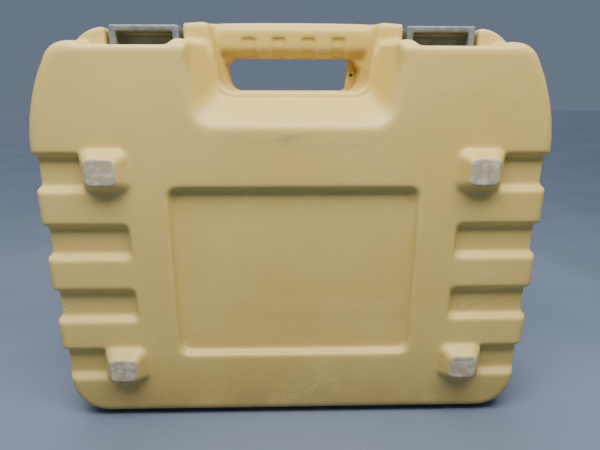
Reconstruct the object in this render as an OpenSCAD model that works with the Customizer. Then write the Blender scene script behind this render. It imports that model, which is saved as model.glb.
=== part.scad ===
// Blow-moulded carrying case holding a hand-held vehicle code reader. Millimetres.
// The case stands on its hinge edge: +Z up to the handle, -Y towards the feet side, floor at Z = 0.

/* [Case] */
// Width across the side walls
case_w = 440; // [400:1:470]
// Height of the body without the raised rail
body_h = 344.5; // [320:0.5:360]
// Depth of each half, outer face to parting plane
half_d = 56; // [48:1:64]
// Parting plane position along Y
split_y = 6; // [0:1:12]
// Gap between the two rims
rim_gap = 0.4; // [0.3:0.1:1]
// Radius of the two bottom corners
bottom_r = 34; // [20:1:40]
// Radius of the long curve above the bottom corners
flank_r = 500; // [300:10:800]
// Height where the sides start to narrow downwards
flank_z = 104; // [80:1:120]
// Radius of the long curve that narrows the shoulders
shoulder_r = 166; // [140:1:200]
// Height where the shoulders start to narrow
shoulder_z = 250; // [220:1:280]
// Radius of the two top corners
crest_r = 22; // [12:1:30]

/* [Face] */
// Half width of the sunk centre panel
panel_x = 108; // [90:1:120]
// Height of the panel's middle
panel_z = 147; // [130:1:160]
// Half height of the panel
panel_hz = 80; // [60:1:90]
// Depth of the panel
panel_depth = 7; // [4:0.5:8]
// Depth of the side grooves in the face
groove_depth = 7.5; // [4:0.5:8]
// Depth of the side grooves in the side wall
groove_side = 4.7; // [3:0.1:6]
// Height of a groove's mouth
groove_h = 32.3; // [24:0.1:36]
// Inner end of the middle grooves
groove_x = 142; // [130:1:160]
// Side position of the feet
foot_x = 157; // [140:1:170]
// Standing height of a foot
foot_h = 12; // [6:1:16]

/* [Handle] */
// Front edge of the raised rail, from the outer face
rail_y = 28; // [24:1:34]
// Crown height of the rail
rail_top = 362; // [355:1:370]
// Underside of the grip
grip_z = 334; // [328:1:340]
// Front of the grip, from the outer face
grip_y = 38; // [34:1:44]
// Spacing of the finger notches
notch_pitch = 25.5; // [20:0.5:30]
// Depth of the finger notches
notch_depth = 1.5; // [1:0.1:2]
// Floor of the hand hole at the parting plane
hole_z = 307; // [300:1:312]

/* [Latches] */
// Middle of each latch
latch_x = 123.5; // [110:0.5:135]
// Width of a latch
latch_w = 57.5; // [50:0.5:60]
// Latch pivot height
latch_z = 349; // [346:0.5:352]
// Latch pivot position along Y
latch_y = 26; // [22:0.5:30]
// Radius of the latch pins
latch_pin_r = 2; // [1.5:0.1:3]

/* [Hinge] */
// Hinge axis height
hinge_z = 10; // [8:0.5:14]
// Middle of each hinge
hinge_x = 120; // [90:1:150]
// Length of each hinge
hinge_len = 60; // [40:1:80]
// Knuckle radius
knuckle_r = 7; // [5:0.5:8]
// Radius of the hinge pins
hinge_pin_r = 2; // [1.5:0.1:3]
// Half angle of the clearance groove along the hinge
hinge_v = 52; // [46:1:60]

/* [Interior] */
// Thickness of a single moulded skin
skin = 3; // [2:0.5:4]
// Half width of the inside
room_x = 193; // [180:1:198]
// Bottom of the inside
room_z0 = 26; // [22:1:32]
// Top of the inside
room_z1 = 266; // [250:1:270]
// Floor of the inside, from the outer face
room_y = 10; // [9:0.5:14]
// Level of the nest plate, from the outer face
nest_y = 34; // [28:1:40]

/* [Reader] */
// Width of the housing
reader_w = 104; // [90:1:115]
// Length of the housing
reader_h = 196; // [170:1:200]
// Thickness of the housing
reader_t = 32; // [26:1:36]
// Housing corner radius
reader_r = 14; // [8:1:20]
// Housing wall
reader_wall = 2.5; // [2:0.1:3]
// Side position in the case
reader_x = -112; // [-120:1:-100]
// Height of its middle in the case
reader_z = 146; // [140:1:150]
// Key travel
key_travel = 1; // [0.5:0.1:1.5]

/* [Hidden] */
$fn = 48;
half_w = case_w / 2;
buff = [0.75, 0.66, 0.45];
grey = [0.42, 0.42, 0.40];
dark = [0.13, 0.14, 0.15];
steel = [0.66, 0.67, 0.69];

// ---------- shared shapes ----------

function arc(cx, cy, r, a0, a1, n) =
    [for (i = [0:n]) let (a = a0 + (a1 - a0) * i / n) [cx + r * cos(a), cy + r * sin(a)]];

function flip(points) = [for (i = [len(points) - 1:-1:0]) [-points[i][0], points[i][1]]];

// Outline of a half seen from the front: inset d all round, bottom edge at height b
function half_right(d, b) = let (
    crest_z = body_h - crest_r,
    reach = shoulder_r - crest_r,
    turn = asin((crest_z - shoulder_z) / reach),
    lean = asin((flank_z - bottom_r) / (flank_r - bottom_r)),
    low_x = half_w - flank_r + (flank_r - bottom_r) * cos(lean))
    concat(
        arc(low_x, b + bottom_r - d, bottom_r - d, -90, -lean, 6),
        arc(half_w - flank_r, flank_z, flank_r - d, -lean, 0, 3),
        arc(half_w - shoulder_r, shoulder_z, shoulder_r - d, 0, turn, 5),
        arc(half_w - shoulder_r + reach * cos(turn), crest_z, crest_r - d, turn, 90, 5));

module outline(d = 0, b = 0) {
    right = half_right(d, b);
    polygon(concat(right, flip(right)));
}

// Extrudes a front view outline along Y
module slab(y0, y1) {
    translate([0, y1, 0]) rotate([90, 0, 0]) linear_extrude(y1 - y0) children();
}

// Extrudes a side view outline along X
module bar(x0, x1) {
    translate([x0, 0, 0]) rotate([90, 0, 90]) linear_extrude(x1 - x0) children();
}

module rounded(w, h, r) {
    square([w - 2 * r, h], center = true);
    square([w, h - 2 * r], center = true);
    for (x = [-1, 1], y = [-1, 1]) translate([x * (w / 2 - r), y * (h / 2 - r)]) circle(r);
}

module plate(w, h, r, t) {
    linear_extrude(t) rounded(w, h, r);
}

module pair() {
    children();
    mirror([1, 0, 0]) children();
}

module rod_x(x0, x1, y, z, r) {
    translate([x0, y, z]) rotate([0, 90, 0]) cylinder(r = r, h = x1 - x0);
}

// ---------- one half of the case, outer face at Y = 0, parting plane at Y = half_d ----------

module half_body() {
    steps = [[0, 9, 12], [0.8, 5.6, 9], [2.8, 2.9, 6.6], [7, 1.1, 4.4], [13, 0.5, 3.2],
        [half_d - 26, 0.3, 0], [half_d - rim_gap / 2 - 0.02, 0, 0]];
    hull() for (s = steps) slab(s[0], s[0] + 0.02) outline(s[1], s[2]);
}

module rail() {
    slab(rail_y, half_d - rim_gap / 2) intersection() {
        translate([0, rail_top - 2130]) circle(2130, $fn = 360);
        translate([-155.5, 325]) square([311, 50]);
    }
    pair() slab(rail_y, half_d - rim_gap / 2) translate([155.5, 323]) circle(33.6);
}

// Pocket that tapers as it goes in, seen from the front
module sunk(x0, x1, z, h, depth, run, r) {
    w = x1 - x0;
    translate([(x0 + x1) / 2, -0.01, z]) rotate([-90, 0, 0])
        linear_extrude(depth, scale = [1 - 2 * run / w, 1 - 2 * run / h], slices = 1)
            rounded(w, h, r, $fn = 16);
}

groove_zs = [240, 179.1, 118.6, 59];

module grooves() {
    for (z = groove_zs) {
        inner = z == groove_zs[0] || z == groove_zs[3] ? foot_x : groove_x;
        pair() {
            sunk(inner, 2 * half_w - inner, z, groove_h, groove_depth, 3.8, 5);
            slab(-1, half_d + 1) polygon([[half_w + 2, z + groove_h / 2 + 1.6],
                [half_w - groove_side, z + groove_h / 2 - 3.6],
                [half_w - groove_side, z - groove_h / 2 + 3.6],
                [half_w + 2, z - groove_h / 2 - 1.6]]);
        }
    }
}

module foot(z) {
    root = 0.6;
    translate([foot_x, root, z + 0.8]) rotate([90, 0, 0])
        linear_extrude(foot_h + root, scale = [24 / 41, 22 / 37], slices = 1)
            rounded(41, 37, 8.5, $fn = 24);
    translate([foot_x, 0, z + 0.8]) slab(root, groove_depth + 1.4) rounded(41, 37, 8.5, $fn = 24);
}

// U-shaped opening of half width x at its floor z, flaring upwards
module scoop_outline(x, z, r, flare) {
    pair() translate([x - r, z + r]) circle(r, $fn = 32);
    translate([-x - flare, 400]) square([2 * (x + flare), 1]);
}

module scoop() {
    hull() {
        slab(-1, -0.99) scoop_outline(84.6, 277, 16, 3);
        slab(rail_y, rail_y + 0.01) scoop_outline(66, 303, 15, 14);
    }
    hull() {
        slab(rail_y - 2, rail_y - 1.99) scoop_outline(64.5, 304.5, 14, 14);
        slab(half_d + 1, half_d + 1.01) scoop_outline(54.5, hole_z, 8, 6);
    }
}

module grip_profile(d) {
    r = 9 - d;
    translate([grip_y + 9, grip_z + d])
        square([half_d - rim_gap / 2 - grip_y - 9, rail_top - grip_z - 2 * d]);
    translate([grip_y + d, grip_z + 9]) square([12, rail_top - grip_z - 18]);
    for (z = [grip_z + 9, rail_top - 9]) translate([grip_y + 9, z]) circle(r);
}

module grip(notched) {
    difference() {
        intersection() {
            bar(-80, 80) grip_profile(0);
            slab(0, half_d) translate([0, rail_top - 2130]) circle(2130, $fn = 360);
        }
        // finger notches, sunk evenly into the round of the grip
        if (notched) difference() {
            for (i = [-1.5:1:1.5]) slab(grip_y - 1, half_d - 3)
                translate([i * notch_pitch, grip_z + 6]) rounded(12.8, 19, 2.8, $fn = 24);
            bar(-60, 60) grip_profile(notch_depth);
        }
    }
    // rounded upper corners of the hand hole
    for (c = [[1, 4.6], [0, 8.3]]) mirror([c[0], 0, 0]) slab(grip_y + 6, half_d - rim_gap / 2)
        difference() {
            translate([55 - c[1], grip_z + 0.25 - c[1]]) square([c[1] + 4.5, c[1] + 1.2]);
            translate([55 - c[1], grip_z + 0.25 - c[1]]) circle(c[1]);
        }
}

module latch_pockets() {
    pair() translate([latch_x - 32, rail_y - 1, 338]) cube([64, half_d, 40]);
    pair() translate([98.7, -1, 340.3]) cube([71.3, rail_y + 1, 20]);
}

module room(d = 0) {
    translate([0, (room_z0 + room_z1) / 2])
        rounded(2 * (room_x + d), room_z1 - room_z0 + 2 * d, 16 + d);
}

// Air spaces sealed between the outer and the inner skin
module air() {
    slab(room_y + skin, half_d - 12) difference() {
        outline(2 * skin + 2, 2 * skin + 2);
        room(skin);
        translate([-half_w, room_z1 + skin]) square([case_w, 100]);
    }
    pair() translate([96, room_y + skin, room_z1 + skin + 2]) cube([92, 36, 60]);
}

module hinge_groove() {
    w = hinge_z * tan(hinge_v);
    bar(-half_w, half_w) polygon([[half_d, hinge_z], [half_d - 1.3 * w, -0.3 * hinge_z],
        [half_d + w, -0.3 * hinge_z]]);
}

module half_outside(notched) {
    difference() {
        union() {
            difference() {
                union() {
                    half_body();
                    rail();
                }
                scoop();
                latch_pockets();
            }
            grip(notched);
        }
        sunk(-panel_x, panel_x, panel_z, 2 * panel_hz, panel_depth, 2.5, 8.5);
        grooves();
        hinge_groove();
    }
}

module knuckles(spans, r) {
    for (h = [-hinge_x, hinge_x], s = spans)
        rod_x(h + s[0] * hinge_len, h + s[1] * hinge_len, half_d, hinge_z, r);
}

base_spans = [[-0.5, -0.17], [0.17, 0.5]];
lid_spans = [[-0.16, 0.16]];

function wider(spans) = [for (s = spans) [s[0] - 0.01, s[1] + 0.01]];

// ---------- nest in the base ----------

module nest_pockets(d = 0) {
    translate([reader_x, reader_z]) rounded(112 + 2 * d, 204 + 2 * d, 18 + d);
    translate([74, 186]) rounded(216 + 2 * d, 134 + 2 * d, 12 + d);
    translate([74, 71]) rounded(216 + 2 * d, 62 + 2 * d, 12 + d);
}

module nest() {
    slab(room_y - 1, nest_y) difference() {
        room(1);
        nest_pockets();
        // finger scallops beside the reader
        for (s = [-1, 1]) translate([reader_x + s * 56, reader_z - 6]) circle(16);
    }
}

module nest_air() {
    slab(room_y + skin, nest_y - skin) difference() {
        room(-skin);
        nest_pockets(skin);
        for (s = [-1, 1]) translate([reader_x + s * 56, reader_z - 6]) circle(23);
    }
}

module catches() {
    pair() translate([latch_x - 20, half_d - 9.6, 336]) cube([40, 4, 12]);
}

module tabs() {
    pair() slab(8, rail_y - 1.5)
        polygon([[85, 338], [85, 345.6], [94.7, 345.6], [99.4, 341], [99.4, 338]]);
}

module base_shell() color(buff) translate([0, split_y - half_d, 0]) difference() {
    union() {
        difference() {
            half_outside(true);
            slab(room_y, half_d + 1) room();
            knuckles(wider(lid_spans), knuckle_r + 0.5);
        }
        nest();
        pair() for (z = [241, 58]) foot(z);
        tabs();
        catches();
        knuckles(base_spans, knuckle_r);
    }
    knuckles([[-0.6, 0.6]], hinge_pin_r + 0.05);
    air();
    nest_air();
}

// Flat pad at one end of the hand hole, where the air was blown in through a pin
module blow_pad() {
    slab(half_d - 9, half_d - rim_gap / 2 - 0.15)
        polygon([[46.4, 304], [47, 310], [49.4, 331], [50, 337], [58.5, 337], [58.5, 304]]);
}

module lid_shell() color(buff * 0.97) translate([0, split_y + half_d, 0]) mirror([0, 1, 0])
    difference() {
        union() {
            difference() {
                half_outside(false);
                slab(room_y, half_d + 1) room();
                knuckles(wider(base_spans), knuckle_r + 0.5);
            }
            knuckles(lid_spans, knuckle_r);
            blow_pad();
        }
        knuckles([[-0.6, 0.6]], hinge_pin_r + 0.05);
        pair() rod_x(latch_x - 40, latch_x + 40, half_d - latch_y + split_y, latch_z,
            latch_pin_r + 0.05);
        translate([52.7, half_d, 320]) rotate([90, 0, 0]) cylinder(r = 1.6, h = 7);
        air();
    }

module hinge_pins() color(steel) for (h = [-hinge_x, hinge_x])
    rod_x(h - hinge_len / 2 + 0.5, h + hinge_len / 2 - 0.5, split_y, hinge_z, hinge_pin_r);

// ---------- latches ----------

module latch(middle) color(grey) translate([middle, 0, 0]) difference() {
    flange = 5.5;
    wide = latch_w / 2;
    union() {
        translate([-wide, -22, 353]) cube([latch_w, latch_y + 22, 5]);
        for (x = [-wide, wide - flange]) translate([x, -22, 340]) cube([flange, latch_y + 22, 14]);
        // rounded back end round the pivot
        rod_x(-wide, wide, latch_y, latch_z, 9);
        // hook that reaches down in front of the catch
        translate([-wide, -8, 339.5]) cube([latch_w, 4, 14.5]);
    }
    // the arms are drafted: thin at their ends, thicker under the plate
    slab(latch_y - 12, latch_y + 18) polygon([[-wide + flange, 330], [wide - flange, 330],
        [wide - flange, 341], [wide - flange - 2, 353], [-wide + flange + 2, 353],
        [-wide + flange, 341]]);
    rod_x(-wide - 1, wide + 1, latch_y, latch_z, latch_pin_r + 0.06);
}

module latch_left() latch(-latch_x);
module latch_right() latch(latch_x);

module latch_pins() color(steel) for (s = [-latch_x, latch_x])
    rod_x(s - 39, s + 39, latch_y, latch_z, latch_pin_r);

// ---------- reader, drawn flat: X right, Y up its face, Z out of its face ----------

module in_nest() {
    translate([reader_x, split_y - half_d + room_y + 0.05, reader_z]) rotate([-90, 0, 0]) children();
}

seam = 16;
board_z = 12;
face_z = reader_t - reader_wall;
screw_xy = [[-42, 84], [42, 84], [-42, 0], [42, 0], [-42, -84], [42, -84]];
window_y = 46;
keys = [["key_up", 0, -17], ["key_down", 0, -57], ["key_left", -22, -37], ["key_right", 22, -37],
    ["key_back", -26, -72], ["key_scan", 26, -72]];

module cover_wall(z0, z1) {
    translate([0, 0, z0]) difference() {
        plate(reader_w, reader_h, reader_r, z1 - z0);
        translate([0, 0, -1]) plate(reader_w - 2 * reader_wall, reader_h - 2 * reader_wall,
            reader_r - reader_wall, z1 - z0 + 2);
    }
}

module socket_cut() {
    translate([-13.6, reader_h / 2 - 8, seam - 5.3]) cube([27.2, 20, 10.6]);
    for (x = [-16.7, 16.7]) translate([x, reader_h / 2 - 8, seam]) rotate([-90, 0, 0])
        cylinder(r = 3.1, h = 20);
}

module reader_back() color(dark) in_nest() difference() {
    union() {
        plate(reader_w, reader_h, reader_r, reader_wall);
        cover_wall(0, seam);
        for (p = screw_xy) translate([p[0], p[1], 1]) cylinder(r = 4, h = board_z - 1.05);
    }
    for (p = screw_xy) translate([p[0], p[1], -1]) {
        cylinder(r = 1.6, h = 40);
        cylinder(r = 2.9, h = 4);
    }
    socket_cut();
    translate([-5, -reader_h / 2 - 5, seam - 3]) cube([10, 12, 8]);
}

module reader_front() color(dark * 1.4) in_nest() difference() {
    union() {
        cover_wall(seam + 0.05, reader_t);
        translate([0, 0, face_z]) plate(reader_w, reader_h, reader_r, reader_wall);
        for (p = screw_xy) translate([p[0], p[1], board_z + 1.65])
            cylinder(r = 3.6, h = face_z - board_z);
    }
    for (p = screw_xy) translate([p[0], p[1], board_z]) cylinder(r = 1.25, h = 14);
    translate([0, window_y, face_z - 1]) plate(76, 48, 2, 10);
    translate([0, window_y, reader_t - 1.5]) plate(84.2, 56.2, 4.1, 2);
    for (k = keys) translate([k[1], k[2], 0]) plate(16.8, 11.8, 3.4, 50);
    translate([0, -37, 0]) cylinder(r = 9.4, h = 50);
    for (x = [-12, 0, 12]) translate([x, 8, 0]) cylinder(r = 2.6, h = 50);
    socket_cut();
    translate([-5, -reader_h / 2 - 5, seam - 3]) cube([10, 12, 8]);
}

module bumper(side) color([0.16, 0.17, 0.18]) in_nest() translate([0, 0, 4]) difference() {
    intersection() {
        plate(reader_w + 7, reader_h + 7, reader_r + 3.5, 24);
        translate([-100, side > 0 ? 66 : -166, -1]) cube([200, 100, 30]);
    }
    translate([0, 0, -1]) plate(reader_w + 0.1, reader_h + 0.1, reader_r + 0.05, 30);
    translate([-24, side * reader_h / 2 - 10, 3]) cube([48, 20, 18]);
}

module bumper_top() bumper(1);
module bumper_bottom() bumper(-1);

module display_window() color([0.55, 0.62, 0.64, 0.4]) in_nest()
    translate([0, window_y, reader_t - 1.45]) plate(84, 56, 4, 1.45);

display_z = 22;

module display_frame() color(steel) in_nest() translate([0, window_y, display_z]) difference() {
    plate(82, 54, 1.5, 7.2);
    translate([0, 0, 0.6]) plate(80.6, 52.6, 1, 6);
    translate([0, 0, 3]) plate(74, 46, 1, 10);
}

module display_glass() color([0.35, 0.42, 0.33]) in_nest()
    translate([0, window_y, display_z + 0.65]) plate(80.5, 52.5, 1, 5.9);

module display_carrier() color([0.80, 0.80, 0.78]) in_nest()
    translate([0, window_y, board_z + 1.65]) difference() {
        plate(82, 54, 1.5, display_z - board_z - 1.7);
        translate([0, 0, -1]) plate(76, 48, 1, 20);
    }

module circuit_board() color([0.10, 0.35, 0.20]) in_nest() translate([0, 0, board_z]) difference() {
    plate(97, 184, 8, 1.6);
    for (p = screw_xy) translate([p[0], p[1], -1]) cylinder(r = 1.8, h = 4);
}

stem_z = 19.5;

module keypad_mat() color([0.70, 0.70, 0.68]) in_nest() translate([0, 0, board_z + 1.65]) {
    dome_h = stem_z - key_travel - 0.4 - board_z - 1.65;
    translate([0, -44, 0]) plate(76, 72, 4, 1.2);
    for (k = keys) translate([k[1], k[2], 0]) cylinder(r1 = 5, r2 = 3.4, h = dome_h);
    translate([0, -37, 0]) cylinder(r1 = 5, r2 = 3.4, h = dome_h);
}

// Flange under the face keeps a key in; its stem reaches down to the mat
module key_root(w, h) {
    translate([0, 0, face_z - 1.7]) plate(w, h, min(w, h) / 3.5, 1.4);
    translate([0, 0, stem_z]) cylinder(r = 2.5, h = face_z - stem_z);
}

module key_cap(x, y) in_nest() translate([x, y, 0]) {
    key_root(19.4, 14.2);
    translate([0, 0, face_z - 1]) plate(16, 11, 3, reader_wall + 2.6);
}

module key_up() color(grey) key_cap(0, -17);
module key_down() color(grey) key_cap(0, -57);
module key_left() color(grey) key_cap(-22, -37);
module key_right() color(grey) key_cap(22, -37);
module key_back() color(grey) key_cap(-26, -72);
module key_scan() color([0.62, 0.16, 0.12]) key_cap(26, -72);

module key_enter() color([0.16, 0.42, 0.24]) in_nest() translate([0, -37, 0]) {
    translate([0, 0, face_z - 1.7]) cylinder(r = 10.8, h = 1.4);
    translate([0, 0, stem_z]) cylinder(r = 2.5, h = face_z - stem_z);
    translate([0, 0, face_z - 1]) cylinder(r = 9, h = reader_wall + 2.6);
}

module lamp(x) in_nest() translate([x, 8, 0]) {
    translate([0, 0, face_z - 6]) cylinder(r = 2.5, h = reader_wall + 6.4);
    translate([0, 0, board_z + 1.65]) cylinder(r = 1.6, h = face_z - board_z - 7);
}

module lamp_green() color([0.20, 0.62, 0.26]) lamp(-12);
module lamp_yellow() color([0.86, 0.70, 0.16]) lamp(0);
module lamp_red() color([0.74, 0.14, 0.12]) lamp(12);

// Fifteen-way cable socket in the top end
socket_y = reader_h / 2;

module socket_d(w, h, y0, y1) {
    translate([0, y1, seam]) rotate([90, 0, 0]) linear_extrude(y1 - y0)
        polygon([[-w / 2, h / 2], [w / 2, h / 2], [w / 2 - 1.6, -h / 2], [-w / 2 + 1.6, -h / 2]]);
}

module socket_shell() color(steel) in_nest() difference() {
    union() {
        translate([-19.6, socket_y - 3.4, seam - 6.2]) cube([39.2, 0.9, 12.4]);
        socket_d(25.6, 9, socket_y - 3, socket_y + 2.6);
    }
    socket_d(24.4, 7.8, socket_y - 8, socket_y + 8);
    for (x = [-16.7, 16.7]) translate([x, socket_y - 6, seam]) rotate([-90, 0, 0])
        cylinder(r = 1.55, h = 6);
}

module contact_grid() {
    for (i = [0:7]) translate([(i - 3.5) * 2.76, 0, seam + 1.42]) children();
    for (i = [0:6]) translate([(i - 3) * 2.76, 0, seam - 1.42]) children();
}

module socket_insert() color(dark) in_nest() difference() {
    union() {
        socket_d(24.3, 7.7, socket_y - 3.4, socket_y + 2.2);
        translate([-13, socket_y - 10, seam - 2.3]) cube([26, 6.5, 8.3]);
    }
    contact_grid() translate([0, socket_y + 4, 0]) rotate([90, 0, 0]) cylinder(r = 0.52, h = 20);
}

module socket_contacts() color([0.80, 0.66, 0.30]) in_nest() contact_grid()
    translate([0, socket_y + 1.4, 0]) rotate([90, 0, 0]) cylinder(r = 0.5, h = 12.5);

module jack_nuts() color(steel) in_nest() for (x = [-16.7, 16.7])
    translate([x, socket_y - 2.45, seam]) rotate([-90, 0, 0]) difference() {
        union() {
            cylinder(r = 2.7, h = 5, $fn = 6);
            translate([0, 0, -6]) cylinder(r = 1.45, h = 7);
        }
        translate([0, 0, 1.5]) cylinder(r = 1.2, h = 5);
    }

module usb_socket() color(steel) in_nest() translate([-3.9, -reader_h / 2 + 1, seam - 2.3])
    difference() {
        cube([7.8, 9, 4]);
        translate([0.5, -1, 0.5]) cube([6.8, 8, 3]);
    }

module processor() color(dark) in_nest() translate([-9, -70, board_z - 1.65])
    cube([18, 18, 1.6]);

module memory_chip() color(dark) in_nest() translate([-30, -20, board_z - 1.25])
    cube([12, 8, 1.2]);

module buzzer() color(dark) in_nest() translate([24, 40, board_z - 6.55]) difference() {
    cylinder(r = 6, h = 6.5);
    translate([0, 0, -1]) cylinder(r = 1.2, h = 3);
}

module housing_screws() color(steel) in_nest() for (p = screw_xy) translate([p[0], p[1], 0]) {
    translate([0, 0, 1]) cylinder(r = 2.7, h = 1.95);
    translate([0, 0, 1]) cylinder(r = 1.2, h = 20);
}

base_shell();
lid_shell();
hinge_pins();
latch_left();
latch_right();
latch_pins();
reader_back();
reader_front();
bumper_top();
bumper_bottom();
display_window();
display_frame();
display_glass();
display_carrier();
circuit_board();
keypad_mat();
key_up();
key_down();
key_left();
key_right();
key_enter();
key_back();
key_scan();
lamp_green();
lamp_yellow();
lamp_red();
socket_shell();
socket_insert();
socket_contacts();
jack_nuts();
usb_socket();
processor();
memory_chip();
buzzer();
housing_screws();
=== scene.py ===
import bmesh
import bpy
import math
import numpy as np
import openvdb
from mathutils import Matrix, Vector


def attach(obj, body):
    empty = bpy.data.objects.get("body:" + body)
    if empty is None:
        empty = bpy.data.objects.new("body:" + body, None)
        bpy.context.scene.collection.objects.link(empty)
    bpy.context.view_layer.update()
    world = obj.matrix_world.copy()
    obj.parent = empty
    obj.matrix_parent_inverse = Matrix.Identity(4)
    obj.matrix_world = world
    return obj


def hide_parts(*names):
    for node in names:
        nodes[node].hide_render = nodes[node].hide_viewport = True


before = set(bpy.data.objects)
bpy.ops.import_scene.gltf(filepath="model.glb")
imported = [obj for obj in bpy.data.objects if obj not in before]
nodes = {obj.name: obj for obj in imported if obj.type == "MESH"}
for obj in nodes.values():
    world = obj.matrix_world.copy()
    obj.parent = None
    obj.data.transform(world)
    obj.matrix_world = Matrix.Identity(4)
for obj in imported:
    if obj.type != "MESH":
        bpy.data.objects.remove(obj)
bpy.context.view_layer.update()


# ---- Camera, floor and light ----
# A case of this kind is looked down on a little as it stands on a bench, in soft light from
# above and in front.
camera_data = bpy.data.cameras.new("camera")
camera_data.sensor_width = 36.0
camera_data.lens = 27.0
camera_data.clip_start = 0.01
camera = bpy.data.objects.new("camera", camera_data)
pan, tilt, roll = (math.radians(degrees) for degrees in (-1.41, 73.85, 0.10))
camera.matrix_world = (Matrix.Translation((-0.0043, -0.4244, 0.3028)) @ Matrix.Rotation(pan, 4, "Z")
                       @ Matrix.Rotation(tilt, 4, "X") @ Matrix.Rotation(roll, 4, "Z"))
bpy.context.scene.collection.objects.link(camera)
bpy.context.scene.camera = camera


def add(tree, kind, settings=None, inputs=None):
    """Adds a node; an input may be a value or another node's output."""
    made = tree.nodes.new(kind)
    for key, value in (settings or {}).items():
        setattr(made, key, value)
    for key, value in (inputs or {}).items():
        if isinstance(value, bpy.types.NodeSocket):
            tree.links.new(value, made.inputs[key])
        else:
            made.inputs[key].default_value = value
    return made


def mixed(tree, share, first, second):
    made = add(tree, "ShaderNodeMix", {"data_type": "RGBA"}, {0: share, 6: first, 7: second})
    return made.outputs[2]


def maths(tree, operation, first, second=0.0):
    return add(tree, "ShaderNodeMath", {"operation": operation}, {0: first, 1: second}).outputs[0]


def times(tree, first, second):
    return maths(tree, "MULTIPLY", first, second)


def ranged(tree, value, start, end, low=0.0, high=1.0):
    """Takes start..end smoothly to low..high."""
    made = add(tree, "ShaderNodeMapRange", {"interpolation_type": "SMOOTHSTEP"},
               {0: value, 1: start, 2: end, 3: low, 4: high})
    return made.outputs[0]


def object_spots(tree):
    """Coordinates on the piece itself, in metres, made once in each tree."""
    made = tree.nodes.get("Texture Coordinate") or tree.nodes.new("ShaderNodeTexCoord")
    return made.outputs["Object"]


def noise(tree, scale, detail, roughness=0.5, spots=None, distortion=0.0):
    return add(tree, "ShaderNodeTexNoise", None,
               {"Vector": spots or object_spots(tree), "Scale": scale, "Detail": detail,
                "Roughness": roughness, "Distortion": distortion}).outputs[0]


def bumped(tree, height, strength, distance, below=None):
    """A height as a bent normal, laid over another bent normal where one is given."""
    made = add(tree, "ShaderNodeBump", None,
               {"Strength": strength, "Distance": distance, "Height": height})
    if below:
        tree.links.new(below, made.inputs["Normal"])
    return made.outputs[0]


def new_finish(name, roughness, metallic=0.0):
    material = bpy.data.materials.new(name)
    material.use_nodes = True
    tree = material.node_tree
    shader = tree.nodes["Principled BSDF"]
    shader.inputs["Roughness"].default_value = roughness
    shader.inputs["Metallic"].default_value = metallic
    return material, tree, shader.inputs


def mesh_object(name, points, faces):
    mesh = bpy.data.meshes.new(name)
    mesh.from_pydata(points, [], faces)
    mesh.update()
    made = bpy.data.objects.new(name, mesh)
    bpy.context.scene.collection.objects.link(made)
    return made


bench = mesh_object("bench", [(-9, -6, 0), (9, -6, 0), (9, 9, 0), (-9, 9, 0)], [(0, 1, 2, 3)])
bench_paint, tree, surface = new_finish("bench_paint", 0.8)
patches = ranged(tree, noise(tree, 5.0, 4.0), 0.35, 0.65)
tree.links.new(mixed(tree, patches, (0.112, 0.146, 0.206, 1), (0.127, 0.163, 0.225, 1)),
               surface["Base Color"])
tree.links.new(bumped(tree, noise(tree, 420.0, 3.0), 0.25, 0.0004), surface["Normal"])
bench.data.materials.append(bench_paint)

world = bpy.data.worlds.new("room")
world.use_nodes = True
sky = world.node_tree.nodes["Background"].inputs
sky["Color"].default_value = (0.47, 0.585, 0.79, 1.0)
sky["Strength"].default_value = 0.30
bpy.context.scene.world = world


def hang(lamp, spot, aim, power, colour):
    lamp.energy = power
    lamp.color = colour
    holder = bpy.data.objects.new(lamp.name, lamp)
    holder.location = spot
    holder.rotation_euler = (Vector(aim) - Vector(spot)).to_track_quat("-Z", "Y").to_euler()
    bpy.context.scene.collection.objects.link(holder)


for name, spot, aim, size, power, colour in (
        ("ceiling", (0.02, -0.35, 0.92), (0.0, -0.03, 0.32), (1.0, 0.4), 16.8, (1.0, 0.965, 0.90)),
        ("side_fill", (-1.4, -0.9, 0.8), (0.0, 0.0, 0.2), (0.9, 0.9), 1.2, (0.9, 0.95, 1.0))):
    panel = bpy.data.lights.new(name, "AREA")
    panel.shape = "RECTANGLE"
    panel.size, panel.size_y = size
    hang(panel, spot, aim, power, colour)
overcast = bpy.data.lights.new("overcast", "SUN")
overcast.angle = math.radians(60)
hang(overcast, (-0.4, 1.0, 1.9), (0.0, 0.0, 0.0), 2.1, (0.92, 0.95, 1.0))


# ---- Case halves ----
# Two blow-moulded shells of buff polyethylene, each a closed double wall with air inside. The
# parison is blown against the mould, so that every edge comes out softly rounded. The feet, grip,
# rail, hinge knuckles and the nest for the reader are all moulded into the shells.
MERGE_DISTANCE = 1e-6
FIELD_MARGIN = 8  # voxels of true distance kept on both sides of a surface


def drop_air_spaces(work):
    """Keeps the connected part with the largest box, which is the outer skin."""
    left, best, best_size = set(work.verts), None, -1.0
    while left:
        stack = [left.pop()]
        group = [stack[0]]
        while stack:
            for edge in stack.pop().link_edges:
                for vert in edge.verts:
                    if vert in left:
                        left.remove(vert)
                        stack.append(vert)
                        group.append(vert)
        xs = [v.co.x for v in group]
        if max(xs) - min(xs) > best_size:
            best, best_size = group, max(xs) - min(xs)
    keep = set(best)
    bmesh.ops.delete(work, geom=[v for v in work.verts if v not in keep], context="VERTS")


def blur(values, sigma):
    reach = int(math.ceil(3 * sigma))
    weights = np.exp(-0.5 * (np.arange(-reach, reach + 1) / sigma) ** 2)
    weights /= weights.sum()
    for axis in range(3):
        padded = np.pad(values, [(reach, reach) if a == axis else (0, 0) for a in range(3)],
                        "edge")
        total = np.zeros_like(values)
        for i, w in enumerate(weights):
            window = [slice(None)] * 3
            window[axis] = slice(i, i + values.shape[axis])
            total += w * padded[tuple(window)]
        values = total
    return values


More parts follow.
